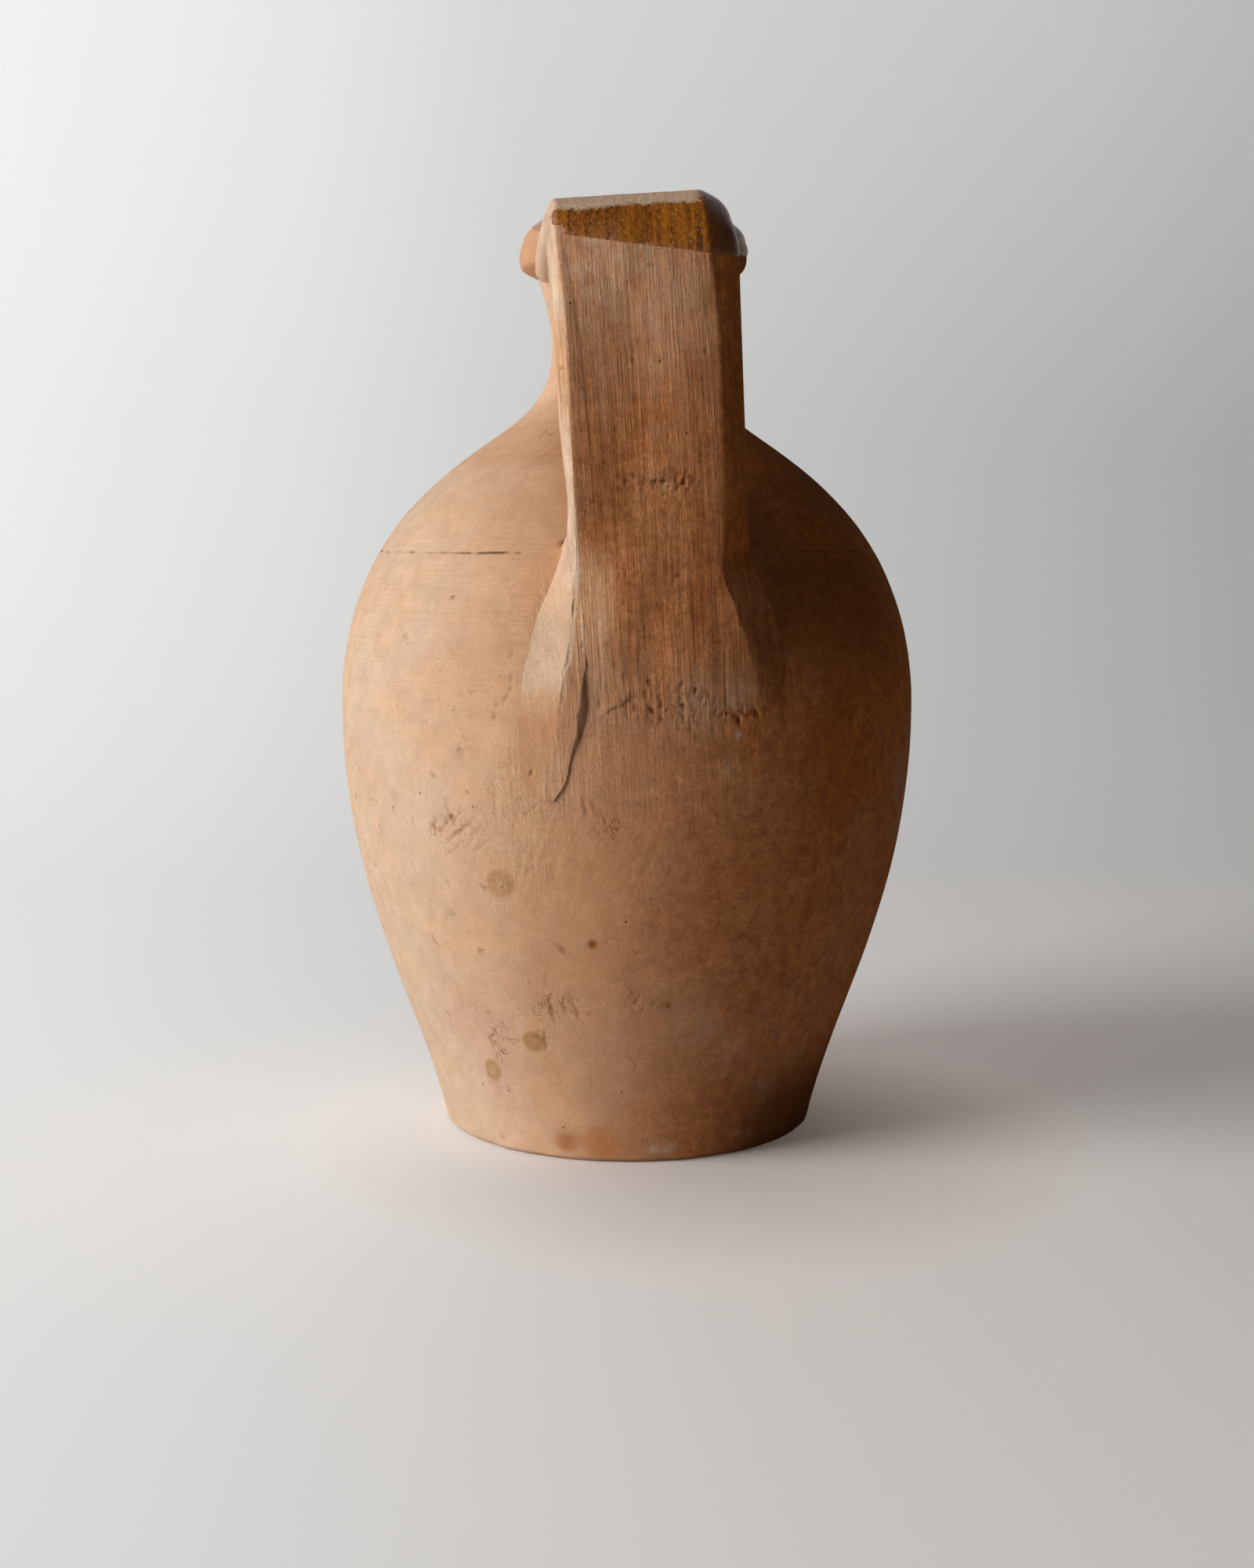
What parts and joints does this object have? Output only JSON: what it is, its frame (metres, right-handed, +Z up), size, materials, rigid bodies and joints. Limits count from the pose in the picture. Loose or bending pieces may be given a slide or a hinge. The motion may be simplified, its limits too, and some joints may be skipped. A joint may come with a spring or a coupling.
{
  "type": "terracotta jug",
  "caption": "Wheel-thrown terracotta jug with an ovoid body, narrow neck, rolled collar rim and broad strap handle, honey glaze inside and dipped over the mouth.",
  "frame": {"origin": "middle of the flat base, on the surface that the jug stands on", "axes": "+Z up along the axis of the thrown body, -Y towards the strap handle, +X to the right when the handle faces the viewer"},
  "size_m": [0.1622, 0.1662, 0.258],
  "materials": {
    "clay": "bare fired terracotta, dry and matt, with wheel lines and wiping marks",
    "slip": "dark line of slip in the seam",
    "glaze": "glossy transparent honey-brown lead-type glaze over terracotta"
  },
  "bodies": {
    "root": {"base_disc": "clay", "belly_wall": "clay", "seam_slip": "slip", "shoulder_dome": "clay", "neck_tube": "clay", "collar_rim": "clay", "strap_handle": "clay", "root_smear_left": "clay", "root_smear_right": "clay", "inner_glaze": "glaze", "rim_glaze": "glaze", "handle_glaze": "glaze"}
  },
  "joints": []
}
